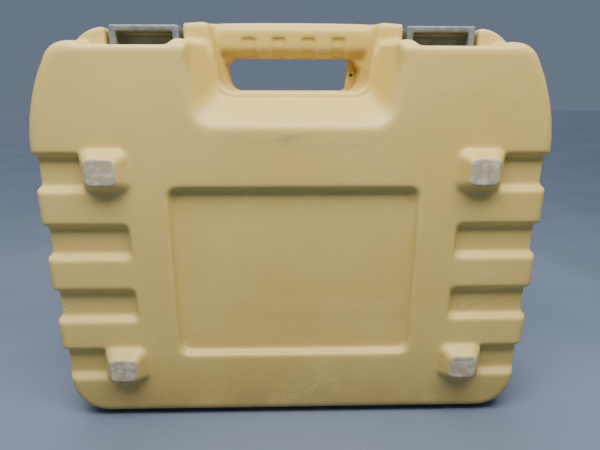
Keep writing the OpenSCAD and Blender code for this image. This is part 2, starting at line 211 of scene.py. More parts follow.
def distance_field(node, voxel):
    """Signed distance to the node's outer surface, in metres, and the grid's lowest corner."""
    work = bmesh.new()
    work.from_mesh(nodes[node].data)
    bmesh.ops.remove_doubles(work, verts=work.verts, dist=MERGE_DISTANCE)
    drop_air_spaces(work)
    bmesh.ops.triangulate(work, faces=work.faces)
    work.verts.index_update()
    points = np.array([v.co[:] for v in work.verts], dtype=np.float32)
    triangles = np.array([[v.index for v in f.verts] for f in work.faces], dtype=np.uint32)
    work.free()
    transform = openvdb.createLinearTransform(voxelSize=voxel)
    grid = openvdb.FloatGrid.createLevelSetFromPolygons(
        points, triangles=triangles, transform=transform, halfWidth=float(FIELD_MARGIN))
    low = np.floor(points.min(axis=0) / voxel).astype(int) - FIELD_MARGIN
    high = np.ceil(points.max(axis=0) / voxel).astype(int) + FIELD_MARGIN
    values = np.empty(high - low + 1, dtype=np.float32)
    grid.copyToArray(values, ijk=tuple(int(v) for v in low))
    return values, low


def apply_modifiers(made):
    graph = bpy.context.evaluated_depsgraph_get()
    done = bpy.data.meshes.new_from_object(made.evaluated_get(graph), depsgraph=graph)
    made.modifiers.clear()
    old, made.data = made.data, done
    done.name = made.name
    bpy.data.meshes.remove(old)


def skin_mesh(name, values, low, voxel, most):
    """The zero surface of a field as a smooth mesh of at most so many triangles."""
    grid = openvdb.FloatGrid()
    grid.background = float(values.max())
    grid.transform = openvdb.createLinearTransform(voxelSize=voxel)
    grid.copyFromArray(values, ijk=tuple(int(v) for v in low))
    points, triangles, quads = grid.convertToPolygons(isovalue=0.0, adaptivity=0.0)
    faces = [tuple(int(i) for i in f[::-1]) for part in (triangles, quads) for f in part]
    made = mesh_object(name, [tuple(p) for p in points.tolist()], faces)
    count = sum(len(f) - 2 for f in faces)
    if count > most:
        thin = made.modifiers.new("thin", "DECIMATE")
        thin.ratio = most / count
        apply_modifiers(made)
    for polygon in made.data.polygons:
        polygon.use_smooth = True
    return made


def sample(values, low, voxel, points):
    """Trilinear reading of a grid at points."""
    at = np.clip(points / voxel - low, 0, np.array(values.shape) - 1.001)
    i = at.astype(int)
    f = at - i
    total = 0.0
    for dx, dy, dz in np.ndindex(2, 2, 2):
        weight = (np.where(dx, f[:, 0], 1 - f[:, 0]) * np.where(dy, f[:, 1], 1 - f[:, 1])
                  * np.where(dz, f[:, 2], 1 - f[:, 2]))
        total = total + weight * values[i[:, 0] + dx, i[:, 1] + dy, i[:, 2] + dz]
    return total


def grid_axes(values, low, voxel):
    return np.meshgrid(*[(np.arange(n) + lo) * voxel for n, lo in zip(values.shape, low)],
                       indexing="ij", sparse=True)


def eased(value, start, end):
    """0 at start and 1 at end, smoothly, whichever of them is the larger."""
    t = np.clip((value - start) / (end - start), 0.0, 1.0)
    return t * t * (3 - 2 * t)


def box_distance(x, y, z, low, high):
    gaps = [np.maximum(low[i] - axis, axis - high[i]) for i, axis in enumerate((x, y, z))]
    return np.maximum(np.maximum(gaps[0], gaps[1]), gaps[2])


def ridge_attribute(made, spread, soft, low, voxel):
    """Stores in mm how far the surface stands out: above 0 on edges, below 0 in creases."""
    points = np.array([v.co[:] for v in made.data.vertices])
    bend = (sample(spread, low, voxel, points) - sample(soft, low, voxel, points)) * 1000
    ridge = made.data.attributes.new("ridge", "FLOAT", "POINT")
    ridge.data.foreach_set("value", bend.astype(np.float32))


# Radii in metres by which a mould softens its edges, from the sharpest place to the roundest
CRISP, INSIDE, LIP, OUTSIDE, RAIL_END, BROW = 0.00065, 0.0008, 0.0010, 0.0017, 0.0028, 0.0034
RIDGE_OUTSIDE, RIDGE_INSIDE = 0.003, 0.002
HALF_TRIANGLES = 190000
# The hollow for the contents, from its back wall to the parting plane, and a hair inside it
HOLLOW = ((-0.1952, 0.0078, 0.0238), (0.1952, 0.0558, 0.2682))
HOLLOW_SKIN = ((-0.1943, 0.0087, 0.0247), (0.1943, 1.0, 0.2673))
# The scoop's throat: half its width where its walls start to lean, and where its corners turn
THROAT_X, THROAT_Z, THROAT_LEAN = 0.0676, 0.318, 0.171
CORNER_X, CORNER_RADIUS, THROAT_FLOOR, LIP_DEPTH = 0.051, 0.0166, 0.3014, 0.0296
HINGE_Y, HINGE_Z, KNUCKLE_RADIUS = 0.006, 0.010, 0.0095
LATCH_X, LATCH_Y, LATCH_Z, LATCH_HALF_WIDTH = 0.1235, 0.026, 0.349, 0.042
BLOW_HOLE_X, BLOW_HOLE_Z = 0.0527, 0.320


def moulded_half(name, node, outer_y, side):
    """outer_y is the outer face's plane and side the way it faces, -1 for the feet side."""
    voxel = 0.00105
    sharp, low = distance_field(node, voxel)
    x, y, z = grid_axes(sharp, low, voxel)
    out_x = abs(x)
    depth = (y - outer_y) * -side

    def soften(field, share, source, radius):
        field += share * (blur(source, radius / voxel) - field)

    # the outside is softened on a body with its hollow filled, so that thin walls stay whole
    filled = np.minimum(sharp, box_distance(x, depth, z, *HOLLOW))
    # a raised lip runs round the throat of the scoop and dies out in the rail
    wall = np.abs(out_x - THROAT_X - np.maximum(z - THROAT_Z, 0.0) * THROAT_LEAN)
    corner = np.abs(np.hypot(out_x - CORNER_X, z - THROAT_Z) - CORNER_RADIUS)
    off_lip = np.where(z > THROAT_Z, wall,
                       np.where(out_x > CORNER_X, corner, np.abs(z - THROAT_FLOOR)))
    lip_radius = 0.0045 - 0.0038 * eased(z, 0.334, 0.352)
    lip = np.hypot(off_lip, depth - LIP_DEPTH) - lip_radius
    filled = np.minimum(filled, lip).astype(np.float32)
    soft = blur(filled, OUTSIDE / voxel)
    at_lip = np.clip(1.5 - np.hypot(off_lip, depth - 0.0290) / 0.006, 0, 1)
    soften(soft, at_lip, filled, LIP)
    # the brow of the handle scoop is rounder than the rest, and so are the rail's ends beside it
    brow = (eased(out_x, 0.118, 0.100) * eased(z, 0.256, 0.268) * eased(z, 0.340, 0.326)
            * eased(depth, 0.018, 0.008))
    soften(soft, brow, filled, BROW)
    rail_end = (eased(out_x, 0.060, 0.066) * eased(out_x, 0.091, 0.085)
                * eased(z, 0.338, 0.348) * eased(depth, 0.052, 0.044))
    soften(soft, rail_end, filled, RAIL_END)
    # the feet and the finger notches are crisper
    notches = (eased(out_x, 0.054, 0.050) * eased(z, 0.326, 0.330) * eased(z, 0.356, 0.352)
               * eased(depth, 0.054, 0.050) * eased(depth, 0.034, 0.036))
    soften(soft, np.clip(eased(depth, 0.001, -0.004) + notches, 0, 1), filled, CRISP)
    inside = eased(box_distance(x, depth, z, *HOLLOW_SKIN), 0.0006, -0.0006)
    soften(soft, inside, sharp, INSIDE)
    # hinge knuckles, the bores of both pivots and the blow pin's hole keep their drilled shape
    near_hinge = np.hypot(y - HINGE_Y, z - HINGE_Z) - KNUCKLE_RADIUS
    near_latch = np.maximum(np.hypot(y - LATCH_Y, z - LATCH_Z) - 0.004,
                            np.abs(out_x - LATCH_X) - LATCH_HALF_WIDTH)
    near_hole = np.maximum(np.hypot(x - BLOW_HOLE_X, z - BLOW_HOLE_Z) - 0.0030,
                           np.abs(y - 0.010) - 0.008)
    nearest = np.minimum(np.minimum(near_hinge, near_latch), near_hole)
    soft += np.clip(1.0 - nearest / 0.0025, 0.0, 1.0) * (sharp - soft)
    made = skin_mesh(name, soft.astype(np.float32), low, voxel, HALF_TRIANGLES)
    spread = blur(filled, RIDGE_OUTSIDE / voxel)
    soften(spread, inside, sharp, RIDGE_INSIDE)
    ridge_attribute(made, spread, soft, low, voxel)
    return made


base_half = moulded_half("base_half", "base_shell", -0.050, -1)
lid_half = moulded_half("lid_half", "lid_shell", 0.062, 1)


def effect(name, inputs, output):
    """A shader group with named numbers in and one named number out."""
    tree = bpy.data.node_groups.new(name, "ShaderNodeTree")
    for label, value in inputs:
        end = tree.interface.new_socket(name=label, in_out="INPUT", socket_type="NodeSocketFloat")
        end.default_value = value
    tree.interface.new_socket(name=output, in_out="OUTPUT", socket_type="NodeSocketFloat")
    ends = tree.nodes.new("NodeGroupInput").outputs
    return tree, ends, tree.nodes.new("NodeGroupOutput").inputs[0]


def place(tree, group, **numbers):
    made = tree.nodes.new("ShaderNodeGroup")
    made.node_tree = group
    for label, value in numbers.items():
        made.inputs[label.replace("_", " ")].default_value = value
    return made.outputs[0]


# Colour and gloss of moulded plastic drift a little over the surface
drift, ends, out = effect("plastic_drift", [("Scale", 14.0), ("Sharpness", 0.5)], "Mask")
half_width = times(drift, maths(drift, "SUBTRACT", 1.0, ends["Sharpness"]), 0.3)
drift.links.new(ranged(drift, noise(drift, ends["Scale"], 4.0),
                       maths(drift, "SUBTRACT", 0.5, half_width),
                       maths(drift, "ADD", 0.5, half_width)), out)

# Edges that stand out, in patches: a mask for edge wear, and for a painted highlight on those edges
lit_and_rubbed_edges, ends, out = effect(
    "rubbed_edges", [("Start", 0.3), ("End", 0.9), ("Patch Scale", 60.0)], "Mask")
ridge = add(lit_and_rubbed_edges, "ShaderNodeAttribute", {"attribute_name": "ridge"}).outputs["Fac"]
patch = noise(lit_and_rubbed_edges, ends["Patch Scale"], 5.0, 0.65)
lit_and_rubbed_edges.links.new(times(lit_and_rubbed_edges, ranged(lit_and_rubbed_edges, ridge, ends["Start"], ends["End"]),
                       ranged(lit_and_rubbed_edges, patch, 0.36, 0.62)), out)

# A mask for the creases: dust on the small moulded parts, painted shade on the buff shells
creases, ends, out = effect("dirty_creases", [("Start", 0.25), ("End", 0.9)], "Mask")
ridge = add(creases, "ShaderNodeAttribute", {"attribute_name": "ridge"}).outputs["Fac"]
crease = ranged(creases, times(creases, ridge, -1.0), ends["Start"], ends["End"])
patch = ranged(creases, noise(creases, 45.0, 4.0), 0.25, 0.60, 0.35, 1.0)
creases.links.new(times(creases, crease, patch), out)

# The mould's blasted face leaves a fine pebble grain
grain, ends, out = effect("mould_grain", [("Scale", 900.0)], "Height")
cells = add(grain, "ShaderNodeTexVoronoi", {"feature": "SMOOTH_F1"},
            {"Vector": object_spots(grain), "Scale": ends["Scale"]}).outputs["Distance"]
fine = noise(grain, ends["Scale"], 2.0)
grain.links.new(maths(grain, "ADD", fine, times(grain, cells, 0.6)), out)

# Long thin scratches that run one way, and only here and there
scratches, ends, out = effect(
    "scratches", [("Turn", 0.6), ("Scale", 9.0), ("Amount", 0.5)], "Mask")
turned = add(scratches, "ShaderNodeVectorRotate", {"rotation_type": "Y_AXIS"},
             {"Vector": object_spots(scratches), "Angle": ends["Turn"]}).outputs[0]
drawn = add(scratches, "ShaderNodeMapping", None,
            {"Vector": turned, "Scale": (1.0, 3.0, 30.0)}).outputs[0]
lines = noise(scratches, ends["Scale"], 5.0, spots=drawn, distortion=0.15)
off_line = maths(scratches, "ABSOLUTE", maths(scratches, "SUBTRACT", lines, 0.5))
spread = times(scratches, ends["Amount"], 0.2)
where = ranged(scratches, noise(scratches, ends["Scale"], 2.0, spots=turned),
               maths(scratches, "SUBTRACT", 0.72, spread),
               maths(scratches, "SUBTRACT", 0.80, spread))
scratches.links.new(times(scratches, ranged(scratches, off_line, 0.004, 0.0012), where), out)

buff, tree, surface = new_finish("buff_polyethylene", 0.42)
axes = add(tree, "ShaderNodeSeparateXYZ", None, {0: object_spots(tree)}).outputs


def off_middle(axis, middle=0.0):
    """How far from a plane across an axis, in metres."""
    return maths(tree, "ABSOLUTE", maths(tree, "SUBTRACT", axes[axis], middle))


def masked(*shares):
    """The product of some shares."""
    product = shares[0]
    for share in shares[1:]:
        product = times(tree, product, share)
    return product


colour = mixed(tree, place(tree, drift, Scale=11.0, Sharpness=0.2),
               (0.575, 0.415, 0.106, 1), (0.615, 0.468, 0.138, 1))
mottle = place(tree, drift, Scale=160.0, Sharpness=0.4)
# painted warm shade inside the handle scoop round the grip, and the plastic is darker towards the
# bottom edge
scoop_painted_shade = masked(ranged(tree, off_middle("X"), 0.094, 0.078), ranged(tree, axes["Z"], 0.274, 0.296),
              ranged(tree, off_middle("Y", HINGE_Y), 0.055, 0.040))
# darker towards the bottom, in patches
lower_darkening = masked(ranged(tree, axes["Z"], 0.085, 0.006),
                ranged(tree, noise(tree, 34.0, 5.0, 0.6), 0.25, 0.60, 0.45, 1.0))
# painted shade darkens the creases of the shells
painted_crease_shade = place(tree, creases, Start=0.35, End=1.3)
# edges that stand out are lighter, as rubbing and as a painted highlight
wear_and_highlight = place(tree, lit_and_rubbed_edges, Start=0.35, End=1.1, Patch_Scale=38.0)
marks = maths(tree, "MAXIMUM", place(tree, scratches, Turn=0.45, Scale=7.0, Amount=0.7),
              place(tree, scratches, Turn=2.4, Scale=10.0, Amount=0.5))
# grey handling marks on the face just below the scoop
stretched = add(tree, "ShaderNodeMapping", None,
                {"Vector": object_spots(tree), "Scale": (0.5, 1.0, 1.6)}).outputs[0]
smear = masked(ranged(tree, axes["Z"], 0.252, 0.268), ranged(tree, axes["Z"], 0.284, 0.272),
               ranged(tree, off_middle("X", 0.010), 0.085, 0.030),
               ranged(tree, axes["Y"], -0.030, -0.046),
               ranged(tree, noise(tree, 70.0, 6.0, 0.7, spots=stretched), 0.46, 0.66))
for mask, share, layer in (
        (mottle, 0.22, (0.66, 0.50, 0.20, 1)), (scoop_painted_shade, 0.50, (0.60, 0.405, 0.050, 1)),
        (lower_darkening, 0.62, (0.30, 0.205, 0.070, 1)), (painted_crease_shade, 0.45, (0.40, 0.235, 0.055, 1)),
        (wear_and_highlight, 0.40, (0.78, 0.64, 0.34, 1)), (marks, 0.55, (0.84, 0.76, 0.52, 1)),
        (smear, 0.42, (0.22, 0.19, 0.155, 1))):
    colour = mixed(tree, times(tree, mask, share), colour, layer)
# the feet are scuffed grey where they stand when the case lies flat
scuffing = noise(tree, 130.0, 5.0, 0.7)
on_foot = ranged(tree, axes["Y"], -0.0608, -0.0616)
scuff = times(tree, on_foot, ranged(tree, scuffing, 0.30, 0.52, 0.60, 1.0))
scuff_colour = mixed(tree, ranged(tree, scuffing, 0.42, 0.64),
                     (0.34, 0.295, 0.215, 1), (0.56, 0.50, 0.395, 1))
tree.links.new(mixed(tree, scuff, colour, scuff_colour), surface["Base Color"])
gloss = ranged(tree, place(tree, drift, Scale=26.0, Sharpness=0.1), 0.0, 1.0, 0.38, 0.48)
dulled = times(tree, maths(tree, "MAXIMUM", scuff, wear_and_highlight), 0.25)
tree.links.new(maths(tree, "ADD", gloss, dulled), surface["Roughness"])
normal = bumped(tree, noise(tree, 22.0, 1.0), 0.30, 0.0018)
normal = bumped(tree, place(tree, grain, Scale=850.0), 0.16, 0.00012, normal)
normal = bumped(tree, times(tree, on_foot, scuffing), 0.35, 0.0003, normal)
tree.links.new(normal, surface["Normal"])

for half, node, body in ((base_half, "base_shell", "base"), (lid_half, "lid_shell", "lid")):
    half.data.materials.append(buff)
    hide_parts(node)
    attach(half, body)


# ---- Hinge pins and latch pins ----
# Plain drawn steel wire, cut to length and pushed through the moulded bores, where it stays by its
# own grip.
wire_lines, ends, out = effect("drawn_lines", [("Scale", 260.0), ("Stretch", 30.0)], "Mask")
shrink = add(wire_lines, "ShaderNodeCombineXYZ", None,
             {0: maths(wire_lines, "DIVIDE", 1.0, ends["Stretch"]), 1: 1.0, 2: 1.0}).outputs[0]
along = add(wire_lines, "ShaderNodeVectorMath", {"operation": "MULTIPLY"},
            {0: object_spots(wire_lines), 1: shrink}).outputs[0]
lines = noise(wire_lines, ends["Scale"], 4.0, spots=along)
wire_lines.links.new(ranged(wire_lines, lines, 0.35, 0.65), out)


def metal_finish(name, dark, light, roughness, scale, stretch):
    """Bare metal with lines drawn along X, which run between a dark and a light shade."""
    material, tree, surface = new_finish(name, roughness, metallic=1.0)
    lines = place(tree, wire_lines, Scale=scale, Stretch=stretch)
    blotch = place(tree, drift, Scale=90.0, Sharpness=0.2)
    shade = times(tree, maths(tree, "ADD", lines, blotch), 0.5)
    tree.links.new(mixed(tree, shade, (*dark, 1), (*light, 1)), surface["Base Color"])
    tree.links.new(ranged(tree, shade, 0.0, 1.0, roughness + 0.10, roughness - 0.06),
                   surface["Roughness"])
    tree.links.new(bumped(tree, lines, 0.12, 0.0001), surface["Normal"])
    return material


def finish_node(name, material):
    for slot in nodes[name].material_slots:
        slot.material = material


pin_steel = metal_finish("pin_steel", (0.36, 0.36, 0.37), (0.62, 0.62, 0.62), 0.32, 260.0, 30.0)
finish_node("hinge_pins", pin_steel)
finish_node("latch_pins", pin_steel)


# ---- Latches ----
# Two injection-moulded caps of grey nylon that turn on pins in the lid and hook over the base's
# catches. Their edges are slightly rounded and polished by thumbs and bench tops, and they carry
# a painted highlight.
def softened(name, node, voxel, radius, most):
    """The node's shape with moulded edges rounded to about twice the radius."""
    sharp, low = distance_field(node, voxel)
    soft = blur(sharp, radius / voxel)
    made = skin_mesh(name, soft.astype(np.float32), low, voxel, most)
    ridge_attribute(made, blur(sharp, 2.2 * radius / voxel), soft, low, voxel)
    return made


def moulded_finish(name, colour, shade, wear_and_highlight, roughness, drift_scale, grain_scale, grain_depth,
                   edge):
    """Moulded plastic: its colour, a second shade it drifts to, and a colour for edge wear and
    scratches, which on the edges is also a painted highlight. Edges take it where they stand out by
    edge, in mm."""
    material, tree, surface = new_finish(name, roughness)
    body = mixed(tree, place(tree, drift, Scale=drift_scale, Sharpness=0.2),
                 (*colour, 1), (*shade, 1))
    dust = place(tree, creases, Start=edge * 0.7, End=edge * 2.5)
    # edges that stand out take the wear colour, which also serves as a painted highlight
    edges = place(tree, lit_and_rubbed_edges, Start=edge, End=edge * 3.0, Patch_Scale=drift_scale * 3.0)
    marks = place(tree, scratches, Turn=0.8, Scale=drift_scale * 0.6, Amount=0.4)
    for mask, share, layer in ((dust, 0.25, (0.26, 0.25, 0.22)), (edges, 0.6, wear_and_highlight),
                               (marks, 0.35, wear_and_highlight)):
        body = mixed(tree, times(tree, mask, share), body, (*layer, 1))
    tree.links.new(body, surface["Base Color"])
    gloss = ranged(tree, place(tree, drift, Scale=drift_scale * 2.0, Sharpness=0.1), 0.0, 1.0,
                   roughness - 0.05, roughness + 0.06)
    tree.links.new(maths(tree, "SUBTRACT", gloss, times(tree, edges, 0.08)), surface["Roughness"])
    tree.links.new(bumped(tree, place(tree, grain, Scale=grain_scale), grain_depth, 0.0001),
                   surface["Normal"])
    return material


latch_nylon = moulded_finish("latch_nylon", (0.088, 0.108, 0.122), (0.105, 0.126, 0.140),
                             (0.20, 0.23, 0.25), 0.40, 30.0, 1500.0, 0.15, 0.06)
for side in ("left", "right"):
    latch = softened("latch_%s_moulding" % side, "latch_" + side, 0.0004, 0.0008, 40000)
    latch.data.materials.append(latch_nylon)
    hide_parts("latch_" + side)
    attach(latch, "latch_" + side)


# ---- Reader covers and bumpers ----
# The hand-held reader's two injection-moulded covers of charcoal plastic meet at a seam round its
# middle. A soft rubber bumper is stretched over each end, with ribs on its sides for grip.
READER_X, READER_Y, READER_Z = 112.0, 39.95, 146.0  # where the reader's origin lies, in mm


def reader_place(x, y, z):
    """From the reader's mm, X right, Y up and Z out of its face, to the place in the case."""
    return Vector(((x - READER_X) / 1000, (z - READER_Y) / 1000, (READER_Z - y) / 1000))


cover_plastic = moulded_finish("charcoal_plastic", (0.030, 0.033, 0.038), (0.033, 0.036, 0.041),
                               (0.09, 0.095, 0.10), 0.46, 40.0, 1400.0, 0.35, 0.16)
bumper_rubber = moulded_finish("bumper_rubber", (0.050, 0.070, 0.092), (0.056, 0.077, 0.100),
                               (0.13, 0.15, 0.17), 0.68, 55.0, 1100.0, 0.22, 0.20)
for name, node, material, finish, voxel, radius, most in (
        ("back_cover", "reader_back", cover_plastic, "housing", 0.0007, 0.0005, 110000),
        ("front_cover", "reader_front", cover_plastic, "housing", 0.0007, 0.0005, 130000),
        ("upper_bumper", "bumper_top", bumper_rubber, "rubber", 0.0006, 0.0007, 60000),
        ("lower_bumper", "bumper_bottom", bumper_rubber, "rubber", 0.0006, 0.0007, 60000)):
    cover = softened(name, node, voxel, radius, most)
    cover.data.materials.append(material)
    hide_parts(node)
    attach(cover, "base")


def socket_of(tree, label):
    return next(item.identifier for item in tree.interface.items_tree if item.name == label)


def repeated(name, unit, places, material):
    """Copies of a unit on a list of places, laid out by Geometry Nodes and made one plain mesh."""
    rule = bpy.data.node_groups.new(name + "_rule", "GeometryNodeTree")
    for label, kind in (("Places", "NodeSocketGeometry"), ("Unit", "NodeSocketObject"),
                        ("Finish", "NodeSocketMaterial")):
        rule.interface.new_socket(name=label, in_out="INPUT", socket_type=kind)
    rule.interface.new_socket(name="Pieces", in_out="OUTPUT", socket_type="NodeSocketGeometry")
    ends = rule.nodes.new("NodeGroupInput").outputs
    shape = add(rule, "GeometryNodeObjectInfo", None, {"Object": ends["Unit"]}).outputs["Geometry"]
    copies = add(rule, "GeometryNodeInstanceOnPoints", None,
                 {"Points": ends["Places"], "Instance": shape}).outputs["Instances"]
    solid = add(rule, "GeometryNodeRealizeInstances", None, {"Geometry": copies})
    dressed = add(rule, "GeometryNodeSetMaterial", None,
                  {"Geometry": solid.outputs["Geometry"], "Material": ends["Finish"]})
    rule.links.new(dressed.outputs["Geometry"], rule.nodes.new("NodeGroupOutput").inputs["Pieces"])
    made = mesh_object(name, [tuple(p) for p in places], [])
    layout = made.modifiers.new("layout", "NODES")
    layout.node_group = rule
    layout[socket_of(rule, "Unit")] = unit
    layout[socket_of(rule, "Finish")] = material
    apply_modifiers(made)
    bpy.data.objects.remove(unit)
    return made


def made_from(name, work):
    """Ends a bmesh as an object in the scene."""
    mesh = bpy.data.meshes.new(name)
    work.to_mesh(mesh)
    work.free()
    made = bpy.data.objects.new(name, mesh)
    bpy.context.scene.collection.objects.link(made)
    return made


def block(name, low, high, bevel, steps=2):
    """A block with rounded edges between two corners, in metres."""
    work = bmesh.new()
    bmesh.ops.create_cube(work, size=1.0)
    for vert in work.verts:
        vert.co = [(low[a] + high[a]) / 2 + vert.co[a] * (high[a] - low[a]) for a in range(3)]
    bmesh.ops.bevel(work, geom=work.edges[:], offset=bevel, segments=steps, affect="EDGES",
                    profile=0.5)
    return made_from(name, work)


# seven grip ribs down each side of each bumper, 2.4 mm apart
for name, y_from in (("upper_grip_ribs", 68.2), ("lower_grip_ribs", -82.6)):
    rib = block("rib", (-0.0006, -0.0078, -0.0006), (0.0006, 0.0078, 0.0006), 0.0004)
    rib_places = [reader_place(55.25 * side, y_from + 2.4 * i, 16.0)
                  for side in (-1, 1) for i in range(7)]
    ribs = repeated(name, rib, rib_places, bumper_rubber)
    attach(ribs, "base")


# ---- Housing screws ----
# Six self-tapping steel screws, cold headed with a cross recess. They pass through the back cover
# and hold it to posts in the front cover.
screw_steel = metal_finish("screw_steel", (0.30, 0.30, 0.31), (0.56, 0.56, 0.57), 0.30, 900.0, 2.0)
SCREW_PROFILE = ((1.15, -19.9), (1.15, -1.9), (2.6, -1.9), (2.65, -1.3), (2.55, -0.75),
                 (2.1, -0.3), (1.3, -0.05))  # radius and height below the cover's back, in mm
HEAD_SINK, AROUND = 0.00195, 24
work = bmesh.new()
rings = []
for radius, depth in SCREW_PROFILE:
    rings.append([work.verts.new((radius * math.cos(a * 2 * math.pi / AROUND) / 1000,
                                  depth * -1 / 1000 - HEAD_SINK,
                                  radius * math.sin(a * 2 * math.pi / AROUND) / 1000))
                  for a in range(AROUND)])
for lower, upper in zip(rings, rings[1:]):
    for a in range(AROUND):
        b = (a + 1) % AROUND
        work.faces.new((lower[a], lower[b], upper[b], upper[a]))
work.faces.new(rings[0])
work.faces.new(rings[-1])
bmesh.ops.recalc_face_normals(work, faces=work.faces)
screw = made_from("screw", work)
for turn in (0.0, math.pi / 2):
    blade = block("blade", (-0.0014, -0.0022, -0.00028), (0.0014, -0.0009, 0.00028), 0.00008, 1)
    blade.data.transform(Matrix.Rotation(turn, 4, "Y"))
    recess = screw.modifiers.new("recess", "BOOLEAN")
    recess.object = blade
    recess.operation = "DIFFERENCE"
    recess.solver = "EXACT"
    apply_modifiers(screw)
    bpy.data.objects.remove(blade)
screw_places = [reader_place(x, y, 2.95) for x in (-42, 42) for y in (84, 0, -84)]
screws = repeated("cross_screws", screw, screw_places, screw_steel)
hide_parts("housing_screws")
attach(screws, "base")


# ---- Display ----
# A reflective liquid crystal glass in a folded steel bezel, on a white plastic carrier, behind a
# clear window glued into the front cover with a printed border.
finish_node("display_frame", metal_finish("bezel_steel", (0.42, 0.42, 0.42), (0.66, 0.66, 0.65),
                                          0.34, 300.0, 12.0))

crystal, tree, surface = new_finish("liquid_crystal", 0.18)
axes = add(tree, "ShaderNodeSeparateXYZ", None, {0: object_spots(tree)}).outputs
columns, rows = (maths(tree, "PINGPONG", times(tree, axes[axis], 1000.0), 0.25) for axis in "XZ")
gaps = ranged(tree, maths(tree, "MINIMUM", columns, rows), 0.0, 0.06, 1.0, 0.0)
glow = mixed(tree, place(tree, drift, Scale=18.0, Sharpness=0.0),
             (0.36, 0.43, 0.27, 1), (0.42, 0.49, 0.31, 1))
tree.links.new(mixed(tree, times(tree, gaps, 0.25), glow, (0.16, 0.20, 0.12, 1)),
               surface["Base Color"])
tree.links.new(ranged(tree, place(tree, drift, Scale=60.0, Sharpness=0.1), 0.0, 1.0, 0.14, 0.24),
               surface["Roughness"])
finish_node("display_glass", crystal)

finish_node("display_carrier", moulded_finish(
    "white_carrier", (0.66, 0.66, 0.63), (0.60, 0.60, 0.57), (0.72, 0.72, 0.70),
    0.45, 60.0, 1200.0, 0.2, 0.1))

window_clear, tree, surface = new_finish("window_acrylic", 0.06)
surface["IOR"].default_value = 1.49
surface["Transmission Weight"].default_value = 0.95
surface["Base Color"].default_value = (0.90, 0.94, 0.93, 1.0)
handled = place(tree, scratches, Turn=1.1, Scale=30.0, Amount=0.5)
wiped = ranged(tree, place(tree, drift, Scale=40.0, Sharpness=0.1), 0.0, 1.0, 0.03, 0.12)
tree.links.new(maths(tree, "ADD", wiped, times(tree, handled, 0.2)), surface["Roughness"])
finish_node("display_window", window_clear)

# the border is printed on the back of the window and covers the bezel's edge
WINDOW_Y, CORNER_STEPS = 46, 7
work = bmesh.new()
frame_rings = []
for half_x, half_y, round_r, levels in ((37.7, 23.7, 1.8, (30.2, 30.5)),
                                        (34.6, 20.6, 1.4, (30.5, 30.2))):
    corners = [(half_x - round_r, half_y - round_r, 0), (round_r - half_x, half_y - round_r, 90),
               (round_r - half_x, round_r - half_y, 180), (half_x - round_r, round_r - half_y, 270)]
    for level in levels:
        frame_rings.append([
            work.verts.new(reader_place(x + round_r * math.cos(math.radians(start + 15 * step)),
                                        WINDOW_Y + y
                                        + round_r * math.sin(math.radians(start + 15 * step)),
                                        level))
            for x, y, start in corners for step in range(CORNER_STEPS)])
for first, second in zip(frame_rings, frame_rings[1:] + frame_rings[:1]):
    for a in range(len(first)):
        b = (a + 1) % len(first)
        work.faces.new((first[a], first[b], second[b], second[a]))
bmesh.ops.recalc_face_normals(work, faces=work.faces)
border = made_from("window_border", work)
border.data.materials.append(moulded_finish(
    "border_ink", (0.012, 0.013, 0.015), (0.017, 0.018, 0.020), (0.05, 0.05, 0.05),
    0.30, 50.0, 2000.0, 0.1, 0.2))
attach(border, "base")


# ---- Circuit board and what is soldered to it ----
# A green glass-fibre board with copper tracks under its mask. It carries the processor and the
# memory, both black epoxy with tinned legs, and a small round buzzer.
board_mask, tree, surface = new_finish("board_mask", 0.32)
axes = add(tree, "ShaderNodeSeparateXYZ", None, {0: object_spots(tree)}).outputs
zones = add(tree, "ShaderNodeTexVoronoi", {"feature": "F1"},
            {"Vector": object_spots(tree), "Scale": 95.0}).outputs["Color"]
zone = add(tree, "ShaderNodeSeparateXYZ", None, {0: zones}).outputs
across, upward = (maths(tree, "PINGPONG", times(tree, axes[axis], 1000.0), 0.6) for axis in "XZ")
way = maths(tree, "GREATER_THAN", zone["X"], 0.5)
track = maths(tree, "ADD", times(tree, way, across),
              times(tree, maths(tree, "SUBTRACT", 1.0, way), upward))
track = times(tree, ranged(tree, track, 0.22, 0.30, 1.0, 0.0), ranged(tree, zone["Y"], 0.25, 0.30))
dots = add(tree, "ShaderNodeTexVoronoi", {"feature": "F1"},
           {"Vector": object_spots(tree), "Scale": 260.0, "Randomness": 0.6}).outputs["Distance"]
pads = times(tree, ranged(tree, dots, 0.16, 0.20, 1.0, 0.0), ranged(tree, zone["Z"], 0.55, 0.60))
mask_green = mixed(tree, place(tree, drift, Scale=30.0, Sharpness=0.1),
                   (0.010, 0.085, 0.035, 1), (0.014, 0.105, 0.045, 1))
mask_green = mixed(tree, track, mask_green, (0.045, 0.22, 0.085, 1))
tree.links.new(mixed(tree, pads, mask_green, (0.62, 0.60, 0.55, 1)), surface["Base Color"])
tree.links.new(pads, surface["Metallic"])
tree.links.new(bumped(tree, maths(tree, "ADD", track, pads), 0.4, 0.00005), surface["Normal"])
finish_node("circuit_board", board_mask)

chip_epoxy = moulded_finish("chip_epoxy", (0.018, 0.018, 0.019), (0.024, 0.024, 0.025),
                            (0.07, 0.07, 0.07), 0.50, 200.0, 4000.0, 0.3, 0.3)
for name in ("processor", "memory_chip", "buzzer"):
    finish_node(name, chip_epoxy)

